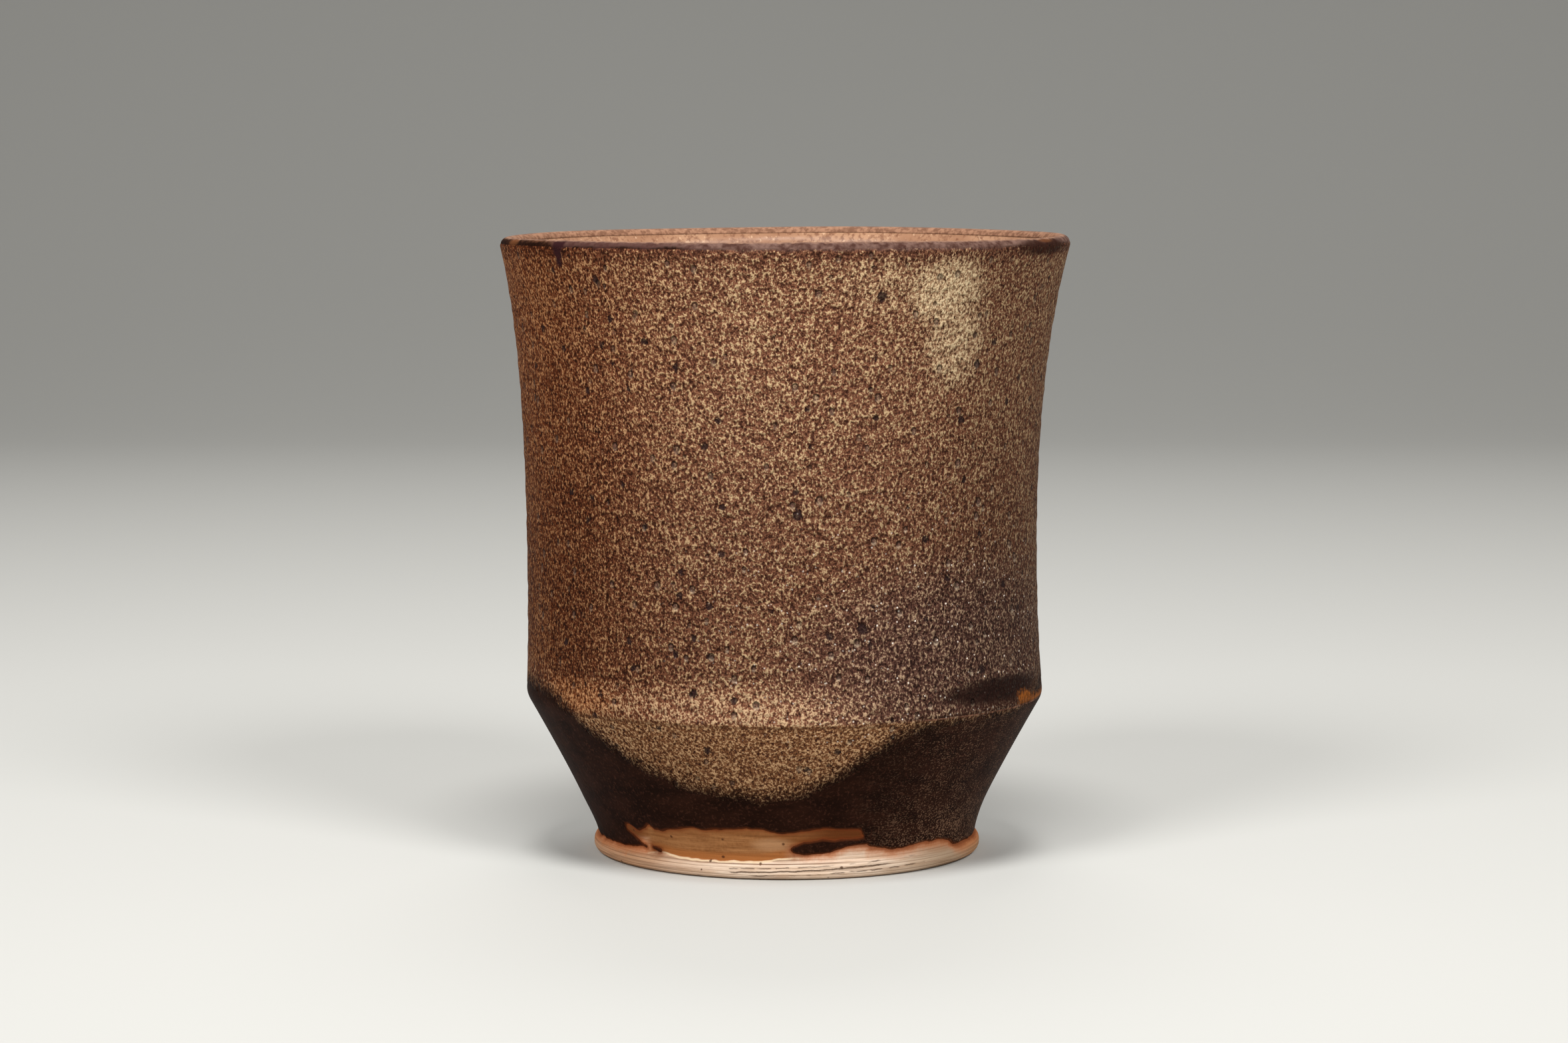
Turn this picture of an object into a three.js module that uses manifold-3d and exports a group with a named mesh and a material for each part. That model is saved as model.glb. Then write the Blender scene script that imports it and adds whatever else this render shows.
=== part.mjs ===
// A handle-less wheel-thrown stoneware cup: one turned clay body that carries three fired glaze coats.
// Millimetres, +Z up. The origin is the centre of the foot, on the surface that the cup stands on.
// The front is towards -Y.
import * as THREE from 'three';
import { mergeVertices } from 'three/addons/utils/BufferGeometryUtils.js';
import Module from 'manifold-3d';

const wasm = await Module();
wasm.setup();

// Bare clay, outside. Radii are from the cup's axis and heights are from the table.
const CUP_HEIGHT = 93.3;
const FOOT_BASE_RADIUS = 27.6;
const FOOT_BULGE = 1.3;
const FOOT_BULGE_HEIGHT = 1.4;
const FOOT_NECK_STEP = 0.7;
const FOOT_NECK_RISE = 1.6;
const CONE_HOLLOW = 0.5;
const SHOULDER_RADIUS = 38.8;
const SHOULDER_HEIGHT = 24.2;
const WAIST_RADIUS = 38;
const WAIST_HEIGHT = 45;
const FLARE_DROP = 17;
const LIP_RADIUS = 42.6;
const LIP_THICKNESS = 2.4;

// Bare clay, inside and underneath.
const WALL_THICKNESS = 3.8;
const FLOOR_THICKNESS = 6;
const FLOOR_ROUND_RADIUS = 20;
const FOOT_RING_WIDTH = 6.1;
const FOOT_RECESS_DEPTH = 2;
const FOOT_RECESS_CHAMFER = 0.8;

// Fired coats. A hairline keeps each coat's solid just clear of what it is bonded to.
const DARK_GLAZE_THICKNESS = 0.2;
const SPECKLED_GLAZE_THICKNESS = 0.35;
const SPECKLED_GLAZE_LIP_THICKNESS = 0.1;
const LINER_GLAZE_THICKNESS = 0.35;
const BOND_HAIRLINE = 0.05;
const LIP_SEAM = 0.2;
const DARK_GLAZE_FOOT_SETBACK = 0.4;

// The dip line of the speckled glaze, seen from the front: it runs round the shoulder, higher on the left,
// and hangs down the cone in one lobe at the front and one at the back.
const DIP_ABOVE_SHOULDER_LEFT = 3;
const DIP_ABOVE_SHOULDER_RIGHT = 0.2;
const LOBE_LEFT_X = -31;
const LOBE_LOWEST_X = -4;
const LOBE_RIGHT_X = 19.4;
const LOBE_DEPTH = 12;
const LOBE_LEFT_PULL = 17;
const LOBE_RIGHT_PULL = 10;

// The bare window in the dark glaze above the foot's neck, seen from the front.
// A tongue of glaze runs in from each side, and the drops are below the window's top edge.
const WINDOW_HEIGHT = 4.5;
const WINDOW_LEFT_X = -23.5;
const WINDOW_RIGHT_X = 11.3;
const WINDOW_SILL_END_X = 24.5;
const LEFT_TONGUE_TIP_X = -19;
const LEFT_TONGUE_DROP = 1.5;
const RIGHT_TONGUE_TIP_X = 1.2;
const RIGHT_TONGUE_DROP = 1.6;
const RIGHT_TONGUE_THICKNESS = 1.8;

// Facets: round the axis, and along each stretch of the profile.
const ROUND_SEGMENTS = 60;
const FOOT_STEPS = 4;
const CONE_STEPS = 3;
const LOWER_WALL_STEPS = 2;
const UPPER_WALL_STEPS = 5;
const LIP_STEPS = 4;
const FLOOR_ROUND_STEPS = 5;
const OUTLINE_STEPS = 8;

const point = (radius, height) => new THREE.Vector2(radius, height);
const bend = (start, pull, end, steps) => new THREE.QuadraticBezierCurve(start, pull, end).getPoints(steps);

// The lip is a half round that leans out with the flare of the wall.
const lipRound = LIP_THICKNESS / 2;
const lipCentre = point(LIP_RADIUS - lipRound, CUP_HEIGHT - lipRound);
const flareHeight = lipCentre.y - FLARE_DROP;
const flareAngle = Math.atan2(LIP_RADIUS - WAIST_RADIUS, FLARE_DROP);

// Places that several stretches of the profile share.
const neckHeight = FOOT_BULGE_HEIGHT + FOOT_NECK_RISE;
const footBase = point(FOOT_BASE_RADIUS, 0);
const footEdge = point(FOOT_BASE_RADIUS + FOOT_BULGE, FOOT_BULGE_HEIGHT);
const neck = point(footEdge.x - FOOT_NECK_STEP, neckHeight);
const shoulder = point(SHOULDER_RADIUS, SHOULDER_HEIGHT);
const waist = point(WAIST_RADIUS, WAIST_HEIGHT);
const floorHeight = FOOT_RECESS_DEPTH + FLOOR_THICKNESS;
const insideRadius = Math.min(WAIST_RADIUS, SHOULDER_RADIUS) - WALL_THICKNESS;

// The clay's profile, as stretches that run from under the foot, up the outside, over the lip and down inside.
function underFoot() {
  const recessRadius = FOOT_BASE_RADIUS - FOOT_RING_WIDTH;
  return [
    point(0, FOOT_RECESS_DEPTH),
    point(recessRadius - FOOT_RECESS_CHAMFER, FOOT_RECESS_DEPTH),
    point(recessRadius, 0),
  ];
}

function footSide() {
  return new THREE.SplineCurve([footBase, footEdge, neck]).getPoints(FOOT_STEPS);
}

function turnedCone() {
  const middle = neck.clone().lerp(shoulder, 0.5);
  const along = shoulder.clone().sub(neck).normalize();
  const pull = middle.add(point(-along.y, along.x).multiplyScalar(CONE_HOLLOW));
  return bend(neck, pull, shoulder, CONE_STEPS);
}

function outerWall() {
  const lowPull = point(WAIST_RADIUS, (SHOULDER_HEIGHT + WAIST_HEIGHT) / 2);
  const lower = bend(shoulder, lowPull, waist, LOWER_WALL_STEPS);
  const upper = bend(waist, point(WAIST_RADIUS, flareHeight), lip()[0], UPPER_WALL_STEPS);
  return [...lower, ...upper.slice(1)];
}

function lip() {
  const arc = new THREE.EllipseCurve(
    lipCentre.x, lipCentre.y, lipRound, lipRound, -flareAngle, Math.PI - flareAngle);
  return arc.getPoints(LIP_STEPS);
}

function innerWall() {
  const insideWaist = point(insideRadius, WAIST_HEIGHT);
  return bend(lip().at(-1), point(insideRadius, flareHeight), insideWaist, UPPER_WALL_STEPS);
}

function roundedFloor() {
  const centre = point(insideRadius - FLOOR_ROUND_RADIUS, floorHeight + FLOOR_ROUND_RADIUS);
  const arc = new THREE.EllipseCurve(
    centre.x, centre.y, FLOOR_ROUND_RADIUS, FLOOR_ROUND_RADIUS, 0, -Math.PI / 2, true);
  return [...arc.getPoints(FLOOR_ROUND_STEPS), point(0, floorHeight)];
}

// Joins stretches that share their end points into one path.
const join = (...stretches) => stretches.reduce((path, stretch) => (
  path.length && path.at(-1).distanceTo(stretch[0]) < 1e-6
    ? [...path, ...stretch.slice(1)]
    : [...path, ...stretch]), []);

// Moves the first point of a path along it, towards the second.
function setBack(path, distance) {
  const along = path[1].clone().sub(path[0]).normalize();
  return [path[0].clone().add(along.multiplyScalar(distance)), ...path.slice(1)];
}

// Moves a path off the clay, square to it, with mitred corners. Its last point may lie at another distance,
// and a point on the axis stays there.
function offClay(path, fullDistance, endDistance = fullDistance) {
  return path.map((here, i) => {
    const distance = i < path.length - 1 ? fullDistance : endDistance;
    const before = path[Math.max(i - 1, 0)];
    const after = path[Math.min(i + 1, path.length - 1)];
    const into = (i ? here.clone().sub(before) : after.clone().sub(here)).normalize();
    const out = (i < path.length - 1 ? after.clone().sub(here) : here.clone().sub(before)).normalize();
    const bisector = point(into.y + out.y, -into.x - out.x).normalize();
    const mitre = distance / (bisector.x * into.y - bisector.y * into.x);
    const moved = here.clone().add(bisector.multiplyScalar(mitre));
    return here.x === 0 ? point(0, here.y + distance) : moved;
  });
}

// Turns a closed profile, or one that starts and ends on the axis, round the cup's axis.
function revolve(profile) {
  return new THREE.LatheGeometry(profile, ROUND_SEGMENTS).rotateX(Math.PI / 2);
}

// A coat over a stretch of clay, with its bonded side at one distance off the clay. It may thin at its end.
function coatOver(path, near, thickness, endThickness = thickness) {
  const bonded = offClay(path, near).reverse();
  const free = offClay(path, near + thickness, near + endThickness);
  const reachesAxis = path.at(-1).x === 0;
  return revolve(reachesAxis ? [...bonded, ...free] : [...free, ...bonded, free[0]]);
}

// A front outline, in X and Z, pushed through the cup from one depth to another.
function pushThrough(outline, frontY, backY) {
  const cutter = new THREE.ExtrudeGeometry(outline, {
    depth: backY - frontY, bevelEnabled: false, curveSegments: OUTLINE_STEPS,
  });
  return cutter.rotateX(Math.PI / 2).translate(0, backY, 0);
}

function solidOf(geometry) {
  const bare = geometry.clone();
  bare.deleteAttribute('normal');
  bare.deleteAttribute('uv');
  const merged = mergeVertices(bare);
  return new wasm.Manifold(new wasm.Mesh({
    numProp: 3,
    vertProperties: new Float32Array(merged.attributes.position.array),
    triVerts: new Uint32Array(merged.index.array),
  }));
}

function cutAway(geometry, cutter) {
  const mesh = solidOf(geometry).subtract(solidOf(cutter)).getMesh();
  const cut = new THREE.BufferGeometry();
  cut.setAttribute('position', new THREE.BufferAttribute(mesh.vertProperties, 3));
  cut.setIndex(new THREE.BufferAttribute(mesh.triVerts, 1));
  cut.computeVertexNormals();
  return cut;
}

// Everything below the dip line, at its real height, as one plate right through the cup.
function belowDipLine() {
  const reach = 2 * LIP_RADIUS;
  const leftLine = SHOULDER_HEIGHT + DIP_ABOVE_SHOULDER_LEFT;
  const rightLine = SHOULDER_HEIGHT + DIP_ABOVE_SHOULDER_RIGHT;
  const lowest = SHOULDER_HEIGHT - LOBE_DEPTH;
  const outline = new THREE.Shape();
  outline.moveTo(-reach, leftLine);
  outline.lineTo(-reach, -reach);
  outline.lineTo(reach, -reach);
  outline.lineTo(reach, rightLine);
  outline.lineTo(LOBE_RIGHT_X, rightLine);
  outline.quadraticCurveTo(LOBE_LOWEST_X + LOBE_RIGHT_PULL, lowest, LOBE_LOWEST_X, lowest);
  outline.quadraticCurveTo(LOBE_LOWEST_X - LOBE_LEFT_PULL, lowest, LOBE_LEFT_X, SHOULDER_HEIGHT);
  outline.lineTo(LOBE_LEFT_X - DIP_ABOVE_SHOULDER_LEFT, leftLine);
  outline.closePath();
  return pushThrough(outline, -reach, reach);
}

// The bare window, open to the foot below it, on the front half of the cup.
function bareWindow() {
  const below = -LIP_RADIUS;
  const top = neckHeight + WINDOW_HEIGHT;
  const leftRoot = top - LEFT_TONGUE_DROP;
  const rightTop = top - RIGHT_TONGUE_DROP;
  const rightLow = rightTop - RIGHT_TONGUE_THICKNESS;
  const rightTip = (rightTop + rightLow) / 2;
  const tongueMiddle = (RIGHT_TONGUE_TIP_X + WINDOW_RIGHT_X) / 2;
  const outline = new THREE.Shape();
  outline.moveTo(LEFT_TONGUE_TIP_X, below);
  outline.lineTo(WINDOW_SILL_END_X, below);
  outline.lineTo(WINDOW_SILL_END_X, rightLow);
  outline.lineTo(WINDOW_RIGHT_X, rightLow);
  outline.quadraticCurveTo(tongueMiddle, rightLow, RIGHT_TONGUE_TIP_X, rightTip);
  outline.quadraticCurveTo(tongueMiddle, rightTop, WINDOW_RIGHT_X, rightTop);
  outline.lineTo(WINDOW_RIGHT_X, top);
  outline.lineTo(WINDOW_LEFT_X, top);
  outline.quadraticCurveTo(WINDOW_LEFT_X, leftRoot, LEFT_TONGUE_TIP_X, neckHeight);
  outline.closePath();
  return pushThrough(outline, -2 * LIP_RADIUS, 0);
}

function makeClayBody() {
  return revolve(join(
    underFoot(), footSide(), turnedCone(), outerWall(), lip(), innerWall(), roundedFloor()));
}

function makeDarkGlaze() {
  const outside = setBack(join(turnedCone(), outerWall(), lip()), DARK_GLAZE_FOOT_SETBACK);
  return cutAway(coatOver(outside, BOND_HAIRLINE, DARK_GLAZE_THICKNESS), bareWindow());
}

function makeSpeckledGlaze() {
  const onDarkGlaze = BOND_HAIRLINE + DARK_GLAZE_THICKNESS + BOND_HAIRLINE;
  const whole = coatOver(
    join(turnedCone(), outerWall()), onDarkGlaze, SPECKLED_GLAZE_THICKNESS, SPECKLED_GLAZE_LIP_THICKNESS);
  return cutAway(whole, belowDipLine());
}

function makeLinerGlaze() {
  const inside = setBack(join(innerWall(), roundedFloor()), LIP_SEAM);
  return coatOver(inside, BOND_HAIRLINE, LINER_GLAZE_THICKNESS);
}

function piece(name, geometry, colour, roughness) {
  const material = new THREE.MeshStandardMaterial({ color: colour, roughness, metalness: 0 });
  const mesh = new THREE.Mesh(geometry, material);
  mesh.name = name;
  return mesh;
}

const cup = new THREE.Group();
cup.name = 'stoneware_cup';
cup.add(piece('clay_body', makeClayBody(), 0xd9bd9a, 0.85));
const coats = new THREE.Group();
coats.name = 'glaze_coats';
coats.add(piece('dark_glaze', makeDarkGlaze(), 0x2a1a14, 0.45));
coats.add(piece('speckled_glaze', makeSpeckledGlaze(), 0x8a6540, 0.5));
coats.add(piece('liner_glaze', makeLinerGlaze(), 0xc8946a, 0.4));
cup.add(coats);

export default cup;
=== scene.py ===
import bmesh
import bpy
import math
import numpy as np
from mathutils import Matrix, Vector, noise


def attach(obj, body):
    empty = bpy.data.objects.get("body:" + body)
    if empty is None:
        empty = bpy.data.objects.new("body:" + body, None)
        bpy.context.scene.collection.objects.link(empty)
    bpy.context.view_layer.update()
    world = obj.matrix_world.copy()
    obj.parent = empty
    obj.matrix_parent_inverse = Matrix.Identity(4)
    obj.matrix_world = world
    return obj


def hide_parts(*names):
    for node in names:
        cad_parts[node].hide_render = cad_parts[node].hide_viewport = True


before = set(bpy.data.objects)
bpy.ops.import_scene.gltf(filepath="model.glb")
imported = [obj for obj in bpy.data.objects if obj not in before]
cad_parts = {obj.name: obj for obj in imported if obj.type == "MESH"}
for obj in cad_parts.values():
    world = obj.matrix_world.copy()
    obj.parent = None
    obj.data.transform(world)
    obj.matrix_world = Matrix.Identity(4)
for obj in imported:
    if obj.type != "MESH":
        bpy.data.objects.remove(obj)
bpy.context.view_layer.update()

# Units. The cup is drawn in millimetres, with +Z up and the front towards -Y, and built in metres.
# Azimuths are in degrees from the front, positive to the right.
MM = 0.001

# Finished outline of the outside, as radius and height.
CUP_HEIGHT = 93.5
FOOT_BASE_RADIUS = 28.1
FOOT_EDGE = (29.4, 1.35)
FOOT_LOW_PULL = 0.2
FOOT_TUCK = 0.3
NECK = (28.75, 2.75)
CONE_PULL = (28.7, 5.5)
SHOULDER = (39.3, 24.3)
SHOULDER_ROUND = 0.9
WAIST = (38.68, 45.0)
WALL_PULL_LOW = 33.0
WALL_PULL_HIGH = 75.0
LIP_RADIUS = 43.0
LIP_ROUND = 1.25

# Inside and underneath.
INSIDE_RADIUS = 34.2
FLOOR_HEIGHT = 8.4
FLOOR_ROUND = 19.6
RECESS_RADIUS = 21.5
RECESS_DEPTH = 2.0
RECESS_SLOPE = 0.8

# How far the skins lie apart, and how thick the coats are.
CLAY_UNDER_CONE = 0.2
CLAY_UNDER_WALL = 0.5
CLAY_UNDER_LIP = 0.2
CLAY_UNDER_LINER = 0.3
LINER_THICKNESS = 0.24
DARK_THICKNESS = 0.3
DARK_UNDER_SPECKLED = 0.22
SPECKLED_THICKNESS = 0.12

# Where the coats begin and end: the dark coat's toe in and under the neck, and the speckled coat's
# lowest height on the cone and its last angle round the lip.
DARK_TOE = (0.1, 0.5)
SPECKLED_START = 9.5
SPECKLED_LIP_END = 0.9

# How a coat sinks out of sight where its place is bare or covered, and how high the speckled coat stands
# where it shows. The fades are depths into the coat and heights at the lip.
DARK_BARE_SINK = 0.34
BARE_FADE = (-0.42, 0.42)
COVERED_FADE = (-1.2, 0.6)
DARK_LIP_FADE = (CUP_HEIGHT - 1.8, CUP_HEIGHT - 0.7)
SPECKLED_SINK = 0.12
SPECKLED_RISE = 0.16
DIP_FADE = (-2.4, -1.0)
SPECKLED_LIP_FADE = (CUP_HEIGHT - 1.3, CUP_HEIGHT - 0.5)

# Hand-made shape: leans, swells and rings of the wall, the wave of the lip and the foot's shift off the axis.
# The fades are heights over which each of them comes in or goes.
WALL_LEAN = 0.12
WALL_BOW = 0.55
BOW_START = 24
BOW_SPAN = 68
OVAL_SWELL = 0.1
THREE_WAY_SWELL = 0.07
SWELL_TWIST = 23
THROWING_DEPTH = 0.035
THROWING_PITCH = 2.7
LONG_THROWING_DEPTH = 0.03
LONG_THROWING_PITCH = 6.1
LIP_TILT = 0.15
LIP_WAVE = 0.1
LIP_RIPPLE = 0.05
FOOT_SHIFT = 0.42
RINGS_IN = (26, 34)
RINGS_OUT = (84, 92)
SWELL_IN = (2, 12)
LEAN_IN = (0, 14)
FOOT_SHIFT_OUT = (1.5, 9)

# Grooves that the turning tool left round the foot.
TURNING_START = 0.75
TURNING_PITCH = 0.55
TURNING_DEPTH = 0.08

# Pitches of the rings on the sole, and of those on the inside's floor and wall.
SOLE_PITCH = 1.7
INSIDE_FLOOR_PITCH = 3.4
INSIDE_WALL_PITCH = 5.2

# Mesh density: slices round the axis, steps in each slice, and row heights along the profile.
SLICES = 40
SLICE_STEPS = 12
FOOT_ROW = 0.1
LIP_ROW = 0.2
SHOULDER_ROW = 0.25
CONE_ROW = 0.32
LOBE_ROW = 0.45
RECESS_ROW = 0.5
UNDER_LIP_ROW = 0.5
SOLE_ROW = 1.0
WALL_ROW = 1.0
HIDDEN_ROW = 2.0
COVERED_ROW = 4.0

# Points closer than this are merged.
MERGE_DISTANCE = 0.002

# Dip line of the speckled glaze at the front, as azimuth and height. It follows the shoulder and hangs
# down the cone in one lobe. The back repeats it.
DIP_LINE = [
    (-90, 27.2), (-72, 27.5), (-61, 26.8), (-54, 24.6), (-50, 22.4), (-44, 19.9), (-36, 17.1),
    (-27, 14.9), (-17, 13.6), (-5, 13.1), (3, 13.7), (9, 15.5), (16, 18.1), (23, 21.3), (29, 23.6),
    (36, 24.2), (50, 24.5), (62, 24.7), (70, 26.2), (78, 27.6), (90, 28.2),
]

# Lower edge of the dark glaze, as azimuth and height. It rises over the bare window at the front.
DARK_EDGE = [
    (-180, 3.0), (-120, 3.2), (-84, 2.9), (-70, 2.95), (-54.3, 3.0), (-53.3, 6.4), (-51.5, 6.8),
    (-49.6, 6.4), (-46.8, 5.9), (-44.3, 6.6), (-42.2, 7.5), (-40.4, 6.6), (-38, 6.5), (-33, 7.0),
    (-27, 7.5), (-23, 7.4), (-12.5, 7.9), (-6.3, 7.85), (-2.1, 7.25), (2.1, 7.25), (6.3, 7.6),
    (11, 8.0), (22, 7.5), (23.2, 5.6), (25, 4.55), (34, 3.9), (39, 4.1), (45, 4.35), (52, 4.3),
    (57, 3.9), (60.5, 3.0), (64, 2.8), (75, 2.75), (120, 3.2), (180, 3.0),
]

# Tongues of dark glaze across the window: start and tip as azimuth, height and half width.
DARK_TONGUES = [
    ((-55.5, 4.6, 1.6), (-46.4, 3.52, 0.1)),
    ((5.2, 4.75, 0.95), (2.6, 4.65, 0.6)),
    ((12.5, 5.0, 1.02), (5.2, 4.75, 0.95)),
    ((17.5, 5.4, 0.45), (12.5, 5.0, 1.0)),
    ((26, 5.6, 0.45), (17.5, 5.4, 0.45)),
    ((-43.3, 3.6, 0.28), (-40.8, 3.22, 0.32)),
]

# Line where the bare clay turns from cream to toasted, as azimuth and height.
TOAST_LINE = [
    (-180, 2.0), (-100, 1.7), (-82, 1.6), (-61, 2.0), (-49, 2.4), (-41, 3.1), (-34, 2.7), (-28, 2.6),
    (-14, 2.65), (-7.7, 2.7), (0, 3.3), (15, 3.2), (25, 3.35), (36, 2.9), (46, 2.9), (57, 2.6),
    (74, 2.0), (100, 1.9), (180, 2.0),
]

# How ragged those lines are: amount and grain size of each wave of noise.
DIP_RAG = ((0.5, 2.5), (0.25, 0.9))
DARK_RAG = ((0.22, 1.6), (0.1, 0.6))
TOAST_RAG = ((0.15, 1.2),)

# Above these heights the dip line and the dark edge are far below, and the depth is taken as deep inside.
DIP_TOP = 40
DARK_EDGE_TOP = 16
DEEP_INSIDE = 10.0

# Larger iron spots on the front of the wall, and larger specks on the foot: azimuth, height and radius.
IRON_SPOTS = [
    (19.5, 85.9, 0.75), (-40.3, 78.5, 0.5), (-22.5, 75.7, 0.5), (55.8, 69.7, 0.5), (40.7, 67.7, 0.55),
    (19.4, 68.5, 0.5), (-45.4, 56.2, 0.6), (2.8, 54.6, 0.8), (-13.0, 55.6, 0.5), (16.9, 38.0, 0.85),
    (-55.7, 34.2, 0.6), (-35.2, 35.6, 0.5), (-34.0, 31.8, 0.5), (-19.5, 36.6, 0.5), (-16.0, 34.1, 0.55),
    (-19.3, 28.7, 0.6), (47.8, 30.9, 0.7),
]
FOOT_SPECKS = [(-34.6, 5.7, 0.3), (-22, 2.56, 0.28), (-6.8, 2.45, 0.28), (-24.5, 1.23, 0.2)]

# Length of one degree round the wall and round the foot.
WALL_DEGREE = math.radians(39.5)
FOOT_DEGREE = math.radians(29)


# Profile

def bend(start, pull, end, row):
    """A quadratic curve from start to end, in steps of about one row."""
    length = math.dist(start, end)
    steps = max(2, round(length / row))
    line = []
    for step in range(steps + 1):
        part = step / steps
        line.append(tuple(first * (1 - part) ** 2 + 2 * pulled * part * (1 - part) + last * part ** 2
                          for first, pulled, last in zip(start, pull, end)))
    return line


def straight(start, end, row):
    middle = tuple((first + last) / 2 for first, last in zip(start, end))
    return bend(start, middle, end, row)


def arc(centre, radius, start_angle, end_angle, row):
    steps = max(3, round(abs(end_angle - start_angle) * radius / row))
    angles = [start_angle + (end_angle - start_angle) * step / steps for step in range(steps + 1)]
    return [(centre[0] + radius * math.cos(angle), centre[1] + radius * math.sin(angle)) for angle in angles]


def join(*stretches):
    """One path from stretches, with a shared end kept once."""
    path = list(stretches[0])
    for stretch in stretches[1:]:
        path += stretch[1:] if math.dist(path[-1], stretch[0]) < 1e-6 else stretch
    return path


def off_path(path, distance):
    """The path moved square to itself, to its right as it is walked."""
    moved = []
    for index, here in enumerate(path):
        before = path[max(index - 1, 0)]
        after = path[min(index + 1, len(path) - 1)]
        along = Vector((after[0] - before[0], after[1] - before[1])).normalized()
        moved.append((here[0] + along.y * distance, here[1] - along.x * distance))
    return moved


LIP_CENTRE = (LIP_RADIUS - LIP_ROUND, CUP_HEIGHT - LIP_ROUND)
FLARE = math.atan2(LIP_RADIUS - WAIST[0], LIP_CENTRE[1] - WALL_PULL_HIGH)


def off_shoulder(towards):
    """The point where the shoulder's rounding starts, on the side of the given point."""
    along = Vector(towards) - Vector(SHOULDER)
    return tuple(Vector(SHOULDER) + along.normalized() * SHOULDER_ROUND)


def cone(row):
    return bend(NECK, CONE_PULL, off_shoulder(CONE_PULL), row)


def lip(row, inset=0.0, end=math.pi - FLARE):
    """The half-round lip, from the outside over the top, or as far as the end angle."""
    return arc(LIP_CENTRE, LIP_ROUND - inset, -FLARE, end, row)


def wall(row):
    """The rounded shoulder and the wall over it."""
    pull = (WAIST[0], WALL_PULL_LOW)
    shoulder = bend(off_shoulder(CONE_PULL), SHOULDER, off_shoulder(pull), SHOULDER_ROW)
    low = bend(shoulder[-1], pull, WAIST, row)
    high = bend(WAIST, (WAIST[0], WALL_PULL_HIGH), lip(row)[0], row)
    return join(shoulder, low, high)


def inside_wall(row):
    waist = (INSIDE_RADIUS, WAIST[1])
    return bend(lip(row)[-1], (INSIDE_RADIUS, WALL_PULL_HIGH), waist, row)


def inside_bowl(row):
    """The inside from the waist down and across the rounded floor to the axis."""
    centre = (INSIDE_RADIUS - FLOOR_ROUND, FLOOR_HEIGHT + FLOOR_ROUND)
    side = straight((INSIDE_RADIUS, WAIST[1]), (INSIDE_RADIUS, centre[1]), row)
    round_floor = arc(centre, FLOOR_ROUND, 0, -math.pi / 2, row)
    return join(side, round_floor, straight(round_floor[-1], (0, FLOOR_HEIGHT), row))


# Meshes

def spun(profile, closed):
    """A wire of the profile spun round the cup's axis: one slice first, then copies of the slice."""
    mesh = bmesh.new()
    verts = [mesh.verts.new((radius * MM, 0, height * MM)) for radius, height in profile]
    edges = [mesh.edges.new(pair) for pair in zip(verts, verts[1:])]
    if closed:
        edges.append(mesh.edges.new((verts[-1], verts[0])))
    slice_angle = 2 * math.pi / SLICES
    bmesh.ops.spin(mesh, geom=verts + edges, cent=(0, 0, 0), axis=(0, 0, 1), dvec=(0, 0, 0),
                   angle=slice_angle, steps=SLICE_STEPS, use_merge=False, use_duplicate=False)
    bmesh.ops.spin(mesh, geom=mesh.verts[:] + mesh.edges[:] + mesh.faces[:], cent=(0, 0, 0), axis=(0, 0, 1),
                   dvec=(0, 0, 0), angle=2 * math.pi - slice_angle, steps=SLICES - 1, use_merge=False,
                   use_duplicate=True)
    bmesh.ops.remove_doubles(mesh, verts=mesh.verts, dist=MERGE_DISTANCE * MM)
    bmesh.ops.recalc_face_normals(mesh, faces=mesh.faces)
    return mesh


def coat_ring(path, thickness):
    """A closed profile: the path as the free side, and half its points moved under as the bonded side."""
    under = off_path(path, -thickness)[::-2]
    return path + under


def azimuth_of(place):
    """Azimuth of a point, from -180 to 180."""
    return math.degrees(math.atan2(place.x, -place.y))


def radius_of(place):
    """Distance of a point from the cup's axis, in millimetres."""
    return math.hypot(place.x, place.y) / MM


def raggedness(place, waves):
    """A small wander that makes a line ragged."""
    return sum(amount * noise.noise(place / (size * MM)) for amount, size in waves)


def step_up(low, high, value):
    """Rises smoothly from 0 at low to 1 at high."""
    part = min(max((value - low) / (high - low), 0), 1)
    return part * part * (3 - 2 * part)


class EdgeLine:
    """A smooth line round the cup through given azimuths and heights."""

    SPACING = 0.25
    SLOPE_REACH = 0.7

    def __init__(self, points, blur):
        azimuths = [point[0] for point in points]
        heights = [point[1] for point in points]
        self.start = azimuths[0]
        dense = np.arange(self.start, azimuths[-1] + self.SPACING, self.SPACING)
        weights = np.hanning(2 * blur + 1)
        line = np.pad(np.interp(dense, azimuths, heights), blur, mode="edge")
        self.heights = np.convolve(line, weights / weights.sum(), mode="valid").tolist()

    def at(self, azimuth):
        """Height of the line at an azimuth."""
        spot = min(max((azimuth - self.start) / self.SPACING, 0), len(self.heights) - 1.001)
        low = int(spot)
        return self.heights[low] + (self.heights[low + 1] - self.heights[low]) * (spot - low)

    def distance(self, azimuth, height, radius):
        """Distance over the line, square to it. A steep stretch counts as a slope of 1."""
        rise = self.at(azimuth + self.SLOPE_REACH) - self.at(azimuth - self.SLOPE_REACH)
        run = math.radians(2 * self.SLOPE_REACH) * max(radius, 1)
        return (height - self.at(azimuth)) / math.hypot(1, min(abs(rise / run), 1))


DIP = EdgeLine(DIP_LINE, blur=10)
SKIRT = EdgeLine(DARK_EDGE, blur=4)
TOAST = EdgeLine(TOAST_LINE, blur=12)


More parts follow.
